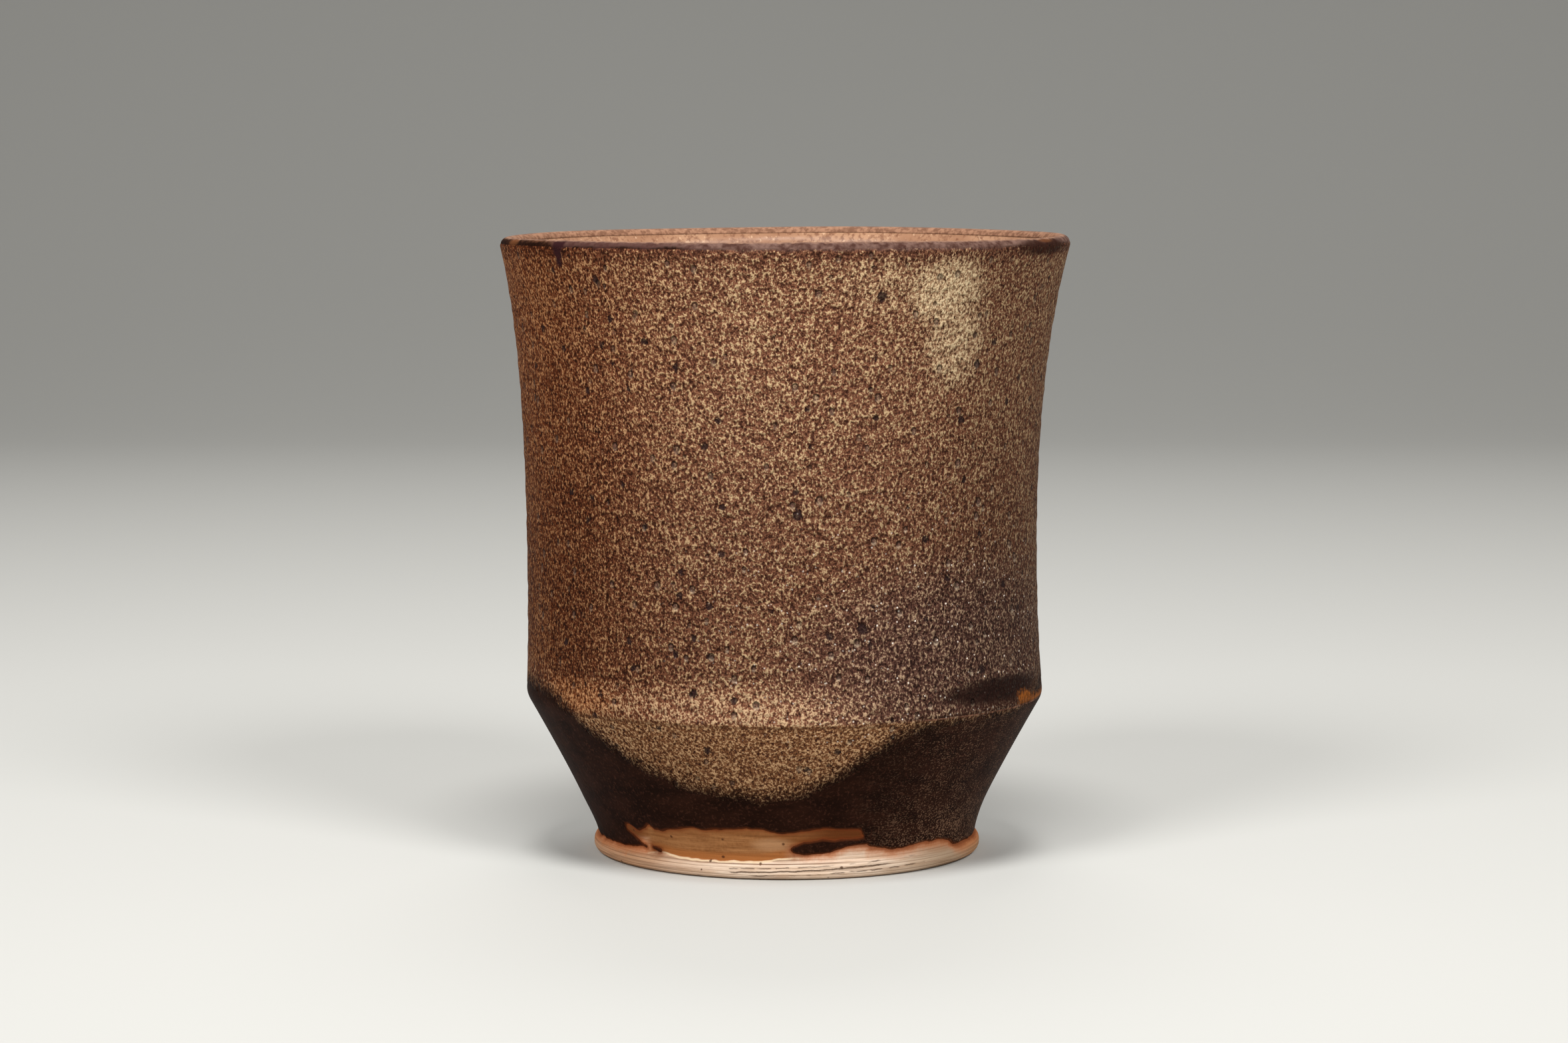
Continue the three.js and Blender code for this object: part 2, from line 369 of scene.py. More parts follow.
def speckled_depth(place):
    """Distance into the speckled glaze from its dip line."""
    height = place.z / MM
    if height > DIP_TOP:
        return DEEP_INSIDE
    azimuth = azimuth_of(place)
    if abs(azimuth) > 90:
        azimuth = math.copysign(180, azimuth) - azimuth
    return DIP.distance(azimuth, height, radius_of(place)) + raggedness(place, DIP_RAG)


def dark_depth(place):
    """Distance into the dark glaze from its ragged lower edge, tongues and drop included."""
    height = place.z / MM
    if height > DARK_EDGE_TOP:
        return DEEP_INSIDE
    azimuth = azimuth_of(place)
    radius = radius_of(place)
    depth = SKIRT.distance(azimuth, height, radius)
    here = Vector((math.radians(azimuth) * radius, height))
    for start, tip in DARK_TONGUES:
        begin = Vector((math.radians(start[0]) * radius, start[1]))
        span = Vector((math.radians(tip[0]) * radius, tip[1])) - begin
        along = min(max((here - begin).dot(span) / span.length_squared, 0), 1)
        half_width = start[2] + (tip[2] - start[2]) * along
        depth = max(depth, half_width - (here - begin - span * along).length)
    return depth + raggedness(place, DARK_RAG)


def toast_depth(place):
    """Height over the line where the bare clay turns toasted."""
    return place.z / MM - TOAST.at(azimuth_of(place)) + raggedness(place, TOAST_RAG)


def lip_turn(place):
    """How far outside the middle of the lip a point lies."""
    return radius_of(place) - LIP_CENTRE[0]


def hand_thrown(place):
    """A point moved by the small leans, waves and throwing rings of a hand-made wall."""
    height = place.z / MM
    around = math.atan2(place.x, -place.y)
    on_wall = step_up(*RINGS_IN, height) * (1 - step_up(*RINGS_OUT, height))
    up_wall = min(max((height - BOW_START) / BOW_SPAN, 0), 1)
    lean = WALL_LEAN - WALL_BOW * math.sin(math.pi * up_wall)
    swell = OVAL_SWELL * math.sin(2 * around + 0.7)
    swell += THREE_WAY_SWELL * math.sin(3 * around - height / SWELL_TWIST)
    rings = THROWING_DEPTH * math.sin(2 * math.pi * height / THROWING_PITCH + around) * on_wall
    rings += LONG_THROWING_DEPTH * math.sin(2 * math.pi * height / LONG_THROWING_PITCH - around) * on_wall
    wave = LIP_TILT * math.sin(around) + LIP_WAVE * math.sin(2 * around + 1.9)
    wave += LIP_RIPPLE * math.sin(5 * around)
    lift = wave * (height / CUP_HEIGHT) ** 6
    outwards = Vector((math.sin(around), -math.cos(around), 0))
    moved = place + outwards * (swell * step_up(*SWELL_IN, height) + rings) * MM
    sideways = lean * step_up(*LEAN_IN, height) + FOOT_SHIFT * (1 - step_up(*FOOT_SHIFT_OUT, height))
    return moved + Vector((sideways, 0, lift)) * MM


def finish_piece(name, mesh, node, material, depths, sink=None):
    """Makes a piece of a spun mesh: stores its depths, sinks hidden places and adds the hand-made shape."""
    layers = {title: mesh.verts.layers.float.new(title) for title in depths}
    for vert in mesh.verts:
        place = vert.co.copy()
        values = {title: measure(place) for title, measure in depths.items()}
        for title, value in values.items():
            vert[layers[title]] = value
        if sink:
            outwards = Vector((place.x, place.y, 0)).normalized()
            place = place + outwards * sink(place.z / MM, values) * MM
        vert.co = hand_thrown(place)
    data = bpy.data.meshes.new(name)
    mesh.to_mesh(data)
    mesh.free()
    data.shade_smooth()
    data.materials.append(material)
    piece = bpy.data.objects.new(name, data)
    bpy.context.collection.objects.link(piece)
    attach(piece, "root")
    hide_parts(node)


# Shader maths

# A Mix node's colour sockets by number, because several of its sockets share a name.
MIX_FACTOR = 0
MIX_FIRST = 6
MIX_SECOND = 7
MIX_RESULT = 2


class Value:
    """A socket in a finish's node tree. Arithmetic on it adds Math nodes."""

    def __init__(self, finish, socket):
        self.finish = finish
        self.socket = socket

    def math(self, operation, *others):
        return self.finish.node("ShaderNodeMath", {"operation": operation}, [self, *others])

    def __add__(self, other):
        return self.math("ADD", other)

    __radd__ = __add__

    def __sub__(self, other):
        return self.math("SUBTRACT", other)

    def __rsub__(self, other):
        return self.finish.node("ShaderNodeMath", {"operation": "SUBTRACT"}, [other, self])

    def __mul__(self, other):
        return self.math("MULTIPLY", other)

    __rmul__ = __mul__

    def __truediv__(self, other):
        return self.math("DIVIDE", other)

    def __neg__(self):
        return self * -1

    def __abs__(self):
        return self.math("ABSOLUTE")

    def over(self, other):
        """The larger of the two."""
        return self.math("MAXIMUM", other)

    def under(self, other):
        """The smaller of the two."""
        return self.math("MINIMUM", other)

    def step(self, low, high):
        """Rises smoothly from 0 at low to 1 at high, or falls if low is the larger."""
        settings = {"interpolation_type": "SMOOTHSTEP"}
        inputs = {"Value": self, "From Min": low, "From Max": high}
        return self.finish.node("ShaderNodeMapRange", settings, inputs)


class Finish:
    """A procedural material on one Principled shader, with the cup's own coordinates in millimetres."""

    def __init__(self, name):
        self.material = bpy.data.materials.new(name)
        self.material.use_nodes = True
        self.tree = self.material.node_tree
        self.shader = self.tree.nodes["Principled BSDF"]
        place = self.node("ShaderNodeTexCoord", output="Object")
        self.place = self.node("ShaderNodeVectorMath", {"operation": "SCALE"}, {0: place, "Scale": 1 / MM})
        x = self.node("ShaderNodeSeparateXYZ", inputs=[self.place], output="X")
        y = self.node("ShaderNodeSeparateXYZ", inputs=[self.place], output="Y")
        self.height = self.node("ShaderNodeSeparateXYZ", inputs=[self.place], output="Z")
        self.radius = (x * x + y * y).math("SQRT")
        self.azimuth = x.math("ARCTAN2", -y) * math.degrees(1)
        self.side = (x / self.radius.over(0.01)).math("ARCSINE") * math.degrees(1)

    def node(self, kind, settings=None, inputs=None, output=0):
        """Adds a node: its settings first, then its sockets by name, number or order. Gives one output."""
        node = self.tree.nodes.new(kind)
        for key, value in (settings or {}).items():
            setattr(node, key, value)
        pairs = inputs.items() if isinstance(inputs, dict) else enumerate(inputs or [])
        for key, value in pairs:
            self.feed(node.inputs[key], value)
        return Value(self, node.outputs[output])

    def feed(self, socket, value):
        if isinstance(value, Value):
            self.tree.links.new(value.socket, socket)
        else:
            socket.default_value = value

    def set(self, **values):
        """Feeds the shader's own sockets, named with underscores for spaces."""
        for key, value in values.items():
            self.feed(self.shader.inputs[key.replace("_", " ")], value)

    def shifted(self, shift, lowered=0.0, stretch=(1, 1, 1)):
        """The cup's coordinates moved, so that each pattern is its own, and stretched."""
        inputs = {"Vector": self.place, "Location": (shift, shift, shift + lowered), "Scale": stretch}
        return self.node("ShaderNodeMapping", inputs=inputs)

    def noise(self, size, detail=2, roughness=0.5, stretch=(1, 1, 1), shift=0.0):
        """Soft noise around 0, about -1 to 1, with features about as large as size in millimetres."""
        place = self.shifted(shift, stretch=stretch)
        inputs = {"Vector": place, "Scale": 1 / size, "Detail": detail, "Roughness": roughness}
        return self.node("ShaderNodeTexNoise", inputs=inputs) * 4 - 2

    def dots(self, spacing, shift=0.0, lowered=0.0):
        """Scattered dots: the distance to the nearest one in millimetres, and its own random number."""
        inputs = {"Vector": self.shifted(shift, lowered), "Scale": 1 / spacing}
        near = self.node("ShaderNodeTexVoronoi", inputs=inputs, output="Distance") * spacing
        colour = self.node("ShaderNodeTexVoronoi", inputs=inputs, output="Color")
        chance = self.node("ShaderNodeSeparateColor", inputs=[colour])
        return near, chance

    def attribute(self, name):
        return self.node("ShaderNodeAttribute", {"attribute_name": name}, output="Fac")

    def mix(self, first, second, factor):
        inputs = {MIX_FACTOR: factor, MIX_FIRST: first, MIX_SECOND: second}
        return self.node("ShaderNodeMix", {"data_type": "RGBA"}, inputs, MIX_RESULT)

    def layers(self, colour, *coats):
        """The colour under coats laid on in turn, each a colour and how much of it covers."""
        for coat, cover in coats:
            colour = self.mix(colour, coat, cover)
        return colour

    def patch(self, azimuth, height, half_width, half_height):
        """A soft patch, from 1 at its centre to 0 past its edge. Sizes are in degrees and millimetres."""
        across = (self.azimuth - azimuth) / half_width
        up = (self.height - height) / half_height
        return (across * across + up * up).step(1, 0)

    def apart(self, azimuth, height, degree):
        """Millimetres from a place on the cup, where one degree round is as long as the given degree."""
        across = (self.azimuth - azimuth) * degree
        up = self.height - height
        return (across * across + up * up).math("SQRT")

    def bump(self, relief):
        """The normal of a relief in millimetres."""
        inputs = {"Height": relief * MM, "Strength": 1.0, "Distance": 1.0}
        return self.node("ShaderNodeBump", inputs=inputs)


def paint(red, green, blue):
    """A colour as seen on screen, from 0 to 255, as the linear colour that a shader takes."""
    return tuple((value / 255 / 12.92) if value < 10.3 else ((value / 255 + 0.055) / 1.055) ** 2.4
                 for value in (red, green, blue)) + (1.0,)


# Finishes

# Both outside glazes share one gloss, so that the dip line shows no rim.
GLAZE_ROUGHNESS = 0.62
GLAZE_SPECULAR = 0.022


def lip_marks(finish, colour):
    """The stains that run round the lip and just under it, over the colour of a coat."""
    ragged = finish.noise(1.1, 2, 0.6, shift=5)
    clouds = finish.noise(5, 2, shift=63)
    under = CUP_HEIGHT - finish.height
    left_end = finish.side.step(-50, -56)
    to_left = finish.side.step(-8, -30)
    band = (under + ragged * 0.25 + clouds * 0.3 + left_end * 0.5 + to_left * 0.2).step(1.35, 0.7)
    stain = finish.mix(paint(72, 46, 39), paint(124, 96, 85), (ragged + clouds * 0.5).step(-0.9, 0.9))
    stain = finish.layers(stain, (paint(74, 46, 42), to_left * 0.7), (paint(104, 66, 45), left_end))
    drip = (abs(finish.azimuth + 50 + ragged * 0.4) + under * 0.35).step(2.5, 1.5) * under.step(4.2, 3.4)
    corner = (finish.patch(63, CUP_HEIGHT - 1.1, 15, 1.9) + ragged * 0.12).step(0.15, 0.9)
    rust = finish.patch(-70, CUP_HEIGHT - 0.7, 4, 0.7) * 0.35
    rust = rust + finish.patch(64, CUP_HEIGHT - 0.2, 4.5, 0.5) * 0.3
    return finish.layers(colour, (stain, band * 0.9), (paint(48, 24, 26), drip * 0.95),
                         (paint(44, 22, 15), corner * 0.85), (paint(150, 92, 54), rust))


def shoulder_marks(finish, colour):
    """The pale line along the shoulder's edge and the scraped patch at its right, over the colour of a coat.
    """
    ragged = finish.noise(0.7, 2, 0.6, shift=41)
    over = finish.height - SHOULDER[1]
    right_front = finish.azimuth.step(26, 36) * (1 - finish.azimuth.step(74, 80))
    # A thin pale line along the shoulder's edge on the right front.
    shoulder_line = abs(over - 0.03).step(0.18, 0.05) * right_front * ragged.step(-1.0, 0.8)
    top = 2.4 - finish.azimuth.step(65, 74) * 1.3
    scrape = (top - over + ragged * 0.35).step(-0.2, 0.7) * (over - 0.05).step(0.0, 0.3)
    scrape = scrape * (finish.azimuth + ragged).step(60.5, 63.5) * (1 - finish.azimuth.step(84, 95))
    rust = finish.mix(paint(90, 50, 20), paint(144, 82, 33), ragged.step(-0.8, 0.7))
    return finish.layers(colour, (paint(136, 94, 74), shoulder_line * 0.7), (rust, scrape * 0.92))


def dark_glaze_colour(finish):
    """Dark chocolate iron glaze, with faint streaks and a scatter of pale specks towards the right."""
    streaks = finish.noise(6, 3, 0.6, (1, 1, 2.2))
    colour = finish.mix(paint(25, 11, 6), paint(40, 20, 12), streaks.step(-0.8, 0.9))
    fine = finish.noise(0.45, 2, 0.6)
    to_right = finish.azimuth.step(12, 48) * (1 - finish.azimuth.step(95, 130))
    low = finish.height.step(15, 5)
    flecks = finish.noise(0.26, 1, 0.5, (0.85, 0.85, 1.15), shift=19) + finish.noise(2.4, 1, shift=9) * 0.25
    flecks = flecks.step(0.12 - low * 0.3, 0.9) * to_right
    return finish.layers(colour, (paint(68, 40, 29), fine.step(0.05, 1.0) * 0.65),
                         (paint(122, 92, 72), flecks * (low * 0.35 + 0.5)))


def make_dark_glaze():
    """The dark glaze, browner along its lower edge, and paler over the top and inside of the lip."""
    finish = Finish("dark_glaze_finish")
    depth = finish.attribute("dark_depth")
    colour = finish.mix(dark_glaze_colour(finish), paint(86, 42, 20), depth.step(0.35, 0.0) * 0.7)
    colour = lip_marks(finish, shoulder_marks(finish, colour))
    inner = finish.attribute("lip_turn") + finish.noise(0.9, 2, shift=3) * 0.2
    on_lip = finish.height.step(CUP_HEIGHT - 3.0, CUP_HEIGHT - 2.6)
    # Paler colour over the top of the lip, and mottled colour inside it.
    crest_noise = finish.noise(1.6, 2, shift=8)
    crest_colour = finish.mix(paint(118, 88, 73), paint(152, 115, 93), crest_noise.step(-0.6, 0.6))
    mottling = finish.noise(0.8, 2, 0.6, shift=33)
    mottled = finish.mix(paint(120, 84, 64), paint(164, 122, 96), mottling.step(-0.5, 0.6))
    colour = finish.layers(colour, (crest_colour, inner.step(0.75, 0.25) * on_lip),
                           (mottled, inner.step(-0.1, -0.7) * on_lip * 0.85))
    relief = finish.noise(0.9, 3) * 0.012 + finish.noise(7, 1) * 0.05
    finish.set(Base_Color=colour, Roughness=GLAZE_ROUGHNESS, Specular_IOR_Level=GLAZE_SPECULAR,
               Normal=finish.bump(relief))
    return finish.material


class SpeckledZones:
    """The noises of the speckled coat, and the zones, from 0 to 1, where it changes over the cup."""

    def __init__(self, finish):
        self.fine = finish.noise(0.26, 1, 0.5, (1.1, 1.1, 0.85))
        self.grain = finish.noise(0.47, 1, 0.5, (1.15, 1.15, 0.85), shift=11)
        self.clumps = finish.noise(1.6, 2, 0.5, shift=23)
        self.drift = finish.noise(11, 2, 0.5, shift=31)
        self.left = finish.side.step(-5, -60)
        self.far_left = finish.side.step(-50, -76)
        self.right = finish.side.step(8, 55)
        self.high = finish.height.step(50, 86)
        self.low = finish.height.step(66, 34)
        self.lower_right = finish.patch(45, 33, 54, 19)
        self.rough = finish.patch(30, 37, 66, 26)
        pale = finish.patch(34.6, 86.2, 13, 7).over(finish.patch(37.5, 80, 11, 10) * 0.8)
        pale = pale.over(finish.patch(20, 87.5, 16, 6) * 0.35)
        self.pale = (pale + self.clumps * 0.16 + self.grain * 0.1).step(0.0, 1.3)
        over_shoulder = finish.height.step(31.5, 27.0) * finish.height.step(24, 24.6)
        self.band = over_shoulder * (1 - finish.side.step(2, 26)) * (1 - self.left * 0.45)
        self.warm = finish.patch(-52, 26.6, 16, 3.6)
        self.lobe = finish.height.step(24.6, 24.0)


def speckle(finish, zones):
    """Yellowish flakes and dark dots on a brown ground, lighter or darker from zone to zone, partly as
    painted shading.
    """
    flake = finish.mix(paint(200, 168, 127), paint(184, 130, 86), zones.left)
    flake = finish.layers(flake, (paint(190, 156, 130), zones.lower_right * 0.7),
                          (paint(226, 200, 160), zones.pale), (paint(206, 164, 122), zones.lobe),
                          (paint(194, 159, 124), zones.band * 0.7), (paint(200, 138, 88), zones.warm * 0.5))
    ground = finish.mix(paint(127, 82, 60), paint(107, 55, 30), zones.left)
    ground = finish.layers(ground, (paint(96, 66, 57), zones.lower_right * 0.85),
                           (paint(176, 142, 108), zones.pale), (paint(130, 85, 54), zones.lobe),
                           (paint(136, 78, 42), zones.warm * 0.5))
    dot = finish.mix(paint(69, 40, 30), paint(48, 21, 10), zones.left)
    dot = finish.layers(dot, (paint(52, 34, 30), zones.lower_right * 0.85), (paint(70, 45, 30), zones.pale))
    cover = -0.04 - zones.pale * 0.24 - zones.band * 0.3 - zones.lobe * 0.15 - zones.high * 0.1
    cover = cover + zones.drift * 0.08 + finish.height.step(CUP_HEIGHT - 3.5, CUP_HEIGHT - 1) * 0.4
    share = zones.grain * 0.8 + zones.fine * 0.65 + zones.clumps * 0.1 - cover
    colour = finish.layers(dot, (ground, share.step(-0.75, 0.2)), (flake, share.step(0.1, 0.85)))
    # Tone, partly painted shading: lighter towards the top, darker towards the bottom and down the lobe. It
    # is also lighter in the band over the shoulder, in the warm and pale patches and at the far left, and
    # darker on the right side and towards the left, most so low down.
    tone_and_painted_shading = 0.755 + zones.high * 0.18 - zones.low * 0.08 + zones.band * 0.24 + zones.warm * 0.1
    tone_and_painted_shading = tone_and_painted_shading + zones.lobe * finish.height.step(13, 25) * 0.2
    tone_and_painted_shading = tone_and_painted_shading + zones.pale * 0.12 + zones.far_left * 0.15
    tone_and_painted_shading = tone_and_painted_shading * (1 - zones.left * (0.08 + zones.low * 0.08) - zones.right * 0.27)
    return finish.node("ShaderNodeVectorMath", {"operation": "SCALE"}, {0: colour, "Scale": tone_and_painted_shading})


def iron_spots(finish, zones):
    """Small iron spots scattered over the coat, and the larger ones in their places."""
    near, chance = finish.dots(4.4)
    spot = (near + zones.grain * 0.2 + zones.clumps * 0.12).step(0.65, 0.3) * chance.step(0.3, 0.35)
    for azimuth, height, radius in IRON_SPOTS:
        apart = finish.apart(azimuth, height, WALL_DEGREE) + zones.grain * 0.2 + zones.clumps * 0.15
        spot = spot.over(apart.step(radius * 1.2, radius * 0.55))
    return spot


def open_pits(finish, lowered=0.0):
    """Open pits in the coat, some smaller than others."""
    near, chance = finish.dots(2.9, shift=50, lowered=lowered)
    return (near / (chance * 0.45 + 0.4)).step(0.75, 0.35) * chance.step(0.2, 0.25)


def painted_glints(finish, zones):
    """Painted glints: bright points of highlight painted along the throwing rings, where the coat is rough.
    """
    near, chance = finish.dots(0.8, shift=77)
    rings = (finish.height * (2 * math.pi / THROWING_PITCH) + finish.azimuth * math.radians(1)).math("SINE")
    point = (near + zones.fine * 0.04).step(0.18, 0.08) * chance.step(0.4, 0.45) * rings.step(-0.8, 0.4)
    return point * (zones.lower_right * 0.4 + zones.rough * 0.6)


def make_speckled_glaze():
    """The speckled glaze, which thins into the dark one along the dip line."""
    finish = Finish("speckled_glaze_finish")
    zones = SpeckledZones(finish)
    spot = iron_spots(finish, zones)
    pit = open_pits(finish)
    # Painted highlight: a pale crescent on each pit's lower lip, where the pits moved down stand clear of the
    # pits themselves.
    pit_highlight = (open_pits(finish, lowered=0.4) - pit).over(0) * (zones.rough * 0.3 + 0.15)
    # A dark band low on the right of the wall, almost the dark glaze's colour; the relief sinks it as a
    # shallow groove.
    dark_band = (finish.patch(55, 27.2, 27, 2.7) + zones.clumps * 0.14 + zones.grain * 0.14).step(0.05, 1.0)
    shade = abs(finish.height - SHOULDER[1] + 0.35).step(0.35, 0.1) * (1 - finish.side.step(20, 30))
    # Painted highlights are laid on here: pale lower lips of the pits and bright glints.
    colour = finish.layers(speckle(finish, zones), (paint(40, 27, 27), spot * 0.88),
                           (paint(96, 76, 68), pit * 0.5), (paint(212, 188, 160), pit_highlight),
                           (paint(232, 218, 202), painted_glints(finish, zones)), (paint(32, 17, 13), dark_band * 0.95),
                           (paint(70, 40, 24), shade * 0.5))
    dip = finish.attribute("speckled_depth")
    edge = (dip + zones.grain * 0.55 + zones.fine * 0.55 + zones.clumps * 0.25).step(-1.3, 1.9)
    colour = finish.mix(dark_glaze_colour(finish), colour, edge)
    colour = lip_marks(finish, shoulder_marks(finish, colour))
    relief = zones.grain * 0.14 + zones.fine * 0.05 + zones.clumps * 0.32 - pit - spot * 0.25 - dark_band * 0.6
    sparkle = (zones.grain * 0.7 + zones.fine * 0.5).step(0.2, 0.9) * (zones.rough * 0.75 + 0.25)
    finish.set(Base_Color=colour, Roughness=GLAZE_ROUGHNESS - edge * sparkle * 0.5,
               Specular_IOR_Level=GLAZE_SPECULAR, Normal=finish.bump(relief))
    return finish.material


def make_liner_glaze():
    """The peach glaze of the inside, flecked, with throwing rings in its relief."""
    finish = Finish("liner_glaze_finish")
    clouds = finish.noise(7, 3)
    colour = finish.mix(paint(154, 111, 83), paint(178, 136, 105), clouds.step(-0.8, 0.8))
    flecks = (finish.noise(0.7, 3, 0.6) + clouds * 0.3).step(-0.2, 0.7)
    pale = finish.noise(0.9, 2, 0.6, shift=21).step(0.35, 0.95)
    colour = finish.layers(colour, (paint(116, 74, 52), flecks * 0.75), (paint(216, 178, 144), pale * 0.6))
    floor_rings = (finish.radius * (2 * math.pi / INSIDE_FLOOR_PITCH)).math("SINE")
    floor_rings = floor_rings * finish.height.step(20, 11)
    turns = finish.height * (2 * math.pi / INSIDE_WALL_PITCH) + finish.azimuth * math.radians(1)
    wall_rings = turns.math("SINE")
    relief = finish.noise(1.4, 2) * 0.02 + (floor_rings + wall_rings * 0.6) * 0.1
    finish.set(Base_Color=colour, Roughness=0.42, Specular_IOR_Level=0.35, Normal=finish.bump(relief))
    return finish.material


def foot_specks(finish, grit):
    """Dark specks in the clay: a few scattered ones, and the larger ones in their places."""
    near, chance = finish.dots(2.2)
    speck = (near + grit * 0.06).step(0.32, 0.14) * chance.step(0.75, 0.8)
    for azimuth, height, radius in FOOT_SPECKS:
        apart = finish.apart(azimuth, height, FOOT_DEGREE) + grit * 0.06
        speck = speck.over(apart.step(radius, radius * 0.4))
    return speck


def torn_line(finish, run, span, width, kept):
    """A line where run is 0. It fades in and out at the span's azimuths, and breaks where kept is 0."""
    start, full, fading, end = span
    along = finish.azimuth.step(start, full) * (1 - finish.azimuth.step(fading, end))
    return abs(run).step(*width) * along * kept


def foot_cracks(finish):
    """The long crack that the turning tool tore along the foot, and a fainter one under it and over it."""
    run = finish.height - (finish.azimuth + 17) * 0.016 - 1.08 + finish.noise(1.3, 3, 0.7, shift=90) * 0.09
    low_run = run + 0.62 + finish.noise(2.1, 2, 0.6, shift=52) * 0.08
    high_run = run - 0.55 + finish.noise(1.9, 2, 0.6, shift=71) * 0.07
    kept = finish.noise(1.6, 1, shift=14).step(-0.9, -0.4)
    low_kept = finish.noise(2.4, 1, shift=36).step(-0.2, 0.3)
    high_kept = finish.noise(2.0, 1, shift=58).step(0.0, 0.4)
    crack = torn_line(finish, run, (-18, -15, 28, 34), (0.15, 0.05), kept)
    low_crack = torn_line(finish, low_run, (-30, -22, 44, 54), (0.11, 0.03), low_kept)
    high_crack = torn_line(finish, high_run, (-24, -18, 36, 46), (0.1, 0.03), high_kept)
    return crack.over(low_crack * 0.8).over(high_crack * 0.7)


def cream_clay(finish, streaks, lines, outer):
    """Pale clay of the foot, browner towards its sides, scored by the turning tool."""
    turns = (finish.height - TURNING_START) * (2 * math.pi / TURNING_PITCH)
    turned = turns.math("COSINE").step(0.6, 0.98)
    scored = (lines.step(0.2, 0.7) * 0.7 + turned * (lines * 0.6 + 0.7)).under(1)
    cream = finish.mix(paint(206, 176, 150), paint(232, 209, 187), streaks.step(-0.9, 0.7))
    return finish.layers(cream, (paint(186, 136, 98), finish.side.step(-12, -54) * outer * 0.85),
                         (paint(160, 132, 104), finish.side.step(20, 56) * outer * 0.85),
                         (paint(182, 128, 84), finish.side.step(58, 74) * outer * 0.7),
                         (paint(124, 92, 68), scored * outer * 0.65))


def toasted_clay(finish, streaks, grit, toast):
    """Browner clay of the bare window, most orange along its lower edge."""
    bare = finish.mix(paint(126, 80, 44), paint(160, 110, 68), (streaks + grit * 0.4).step(-0.9, 1.0))
    bare = finish.mix(bare, paint(174, 130, 92), finish.patch(-3, 5.3, 8, 1.4) * 0.8)
    return finish.mix(paint(158, 98, 52), bare, toast.step(0.7, 1.6))


def make_clay():
    """The bare clay: cream round the foot, toasted in the window, rusty along the edge of the dark glaze."""
    finish = Finish("clay_finish")
    depth = finish.attribute("dark_depth")
    toast = finish.attribute("toast_depth")
    grit = finish.noise(0.45, 3, 0.6)
    streaks = finish.noise(2.0, 3, 0.6, (0.3, 0.3, 3.0))
    lines = finish.noise(0.5, 2, 0.5, (0.03, 0.03, 1.0), shift=4)
    outer = finish.radius.step(25, 27.4)
    in_window = finish.azimuth.step(-47, -42) * (1 - finish.azimuth.step(-1, 9))
    inside = in_window.over(finish.height.step(4.4, 5.4))

    toasted = (toast + grit * 0.12).step(-0.35, 0.15) * inside
    pale_line = abs(toast + 0.08).step(0.2, 0.05) * in_window
    right_front = finish.azimuth.step(15, 30) * (1 - finish.azimuth.step(60, 70))
    reach = -1.6 - right_front * 0.45
    halo = (depth + grit * 0.2).step(reach, -0.2) * (0.85 - inside * 0.3) * outer
    halo_colour = finish.mix(paint(190, 116, 70), paint(136, 80, 40), inside)
    right_arm = finish.azimuth.step(-3, 15) * (finish.height + grit * 0.2).step(4.9, 6.2)
    left_wedge = finish.azimuth.step(-43, -49) * finish.height.step(3.9, 5.0)
    rim = (depth + grit * 0.1).step(-0.65 - right_front * 0.35, 0.0) * outer
    crack = foot_cracks(finish)
    groove = abs(finish.height - 2.42 - finish.azimuth * 0.006).step(0.1, 0.03)
    groove = groove * (1 - finish.azimuth.step(14, 26))
    colour = finish.layers(cream_clay(finish, streaks, lines, outer),
                           (toasted_clay(finish, streaks, grit, toast), toasted),
                           (paint(236, 212, 176), pale_line * 0.8), (halo_colour, halo),
                           (paint(94, 48, 17), right_arm.over(left_wedge * 0.7) * 0.95),
                           (paint(112, 50, 20), rim * 0.75),
                           (paint(74, 40, 22), foot_specks(finish, grit) * 0.85),
                           (paint(92, 70, 54), crack * 0.85),
                           (paint(120, 80, 54), groove * finish.azimuth.step(-36, -22) * 0.6))
    sole = (finish.radius * (2 * math.pi / SOLE_PITCH)).math("SINE")
    sole = sole * finish.height.step(2.4, 1.9) * finish.radius.step(27, 26)
    relief = grit * 0.012 + lines * 0.04 - crack * 0.12 - groove * 0.06 + sole * 0.05
    finish.set(Base_Color=colour, Roughness=0.8, Specular_IOR_Level=0.08, Normal=finish.bump(relief))
    return finish.material


# Pieces

def turning_groove(height):
    """Depth of the fine grooves that the turning tool left round the foot."""
    crest = max(0, math.cos(2 * math.pi * (height - TURNING_START) / TURNING_PITCH))
    return TURNING_DEPTH * crest ** 4


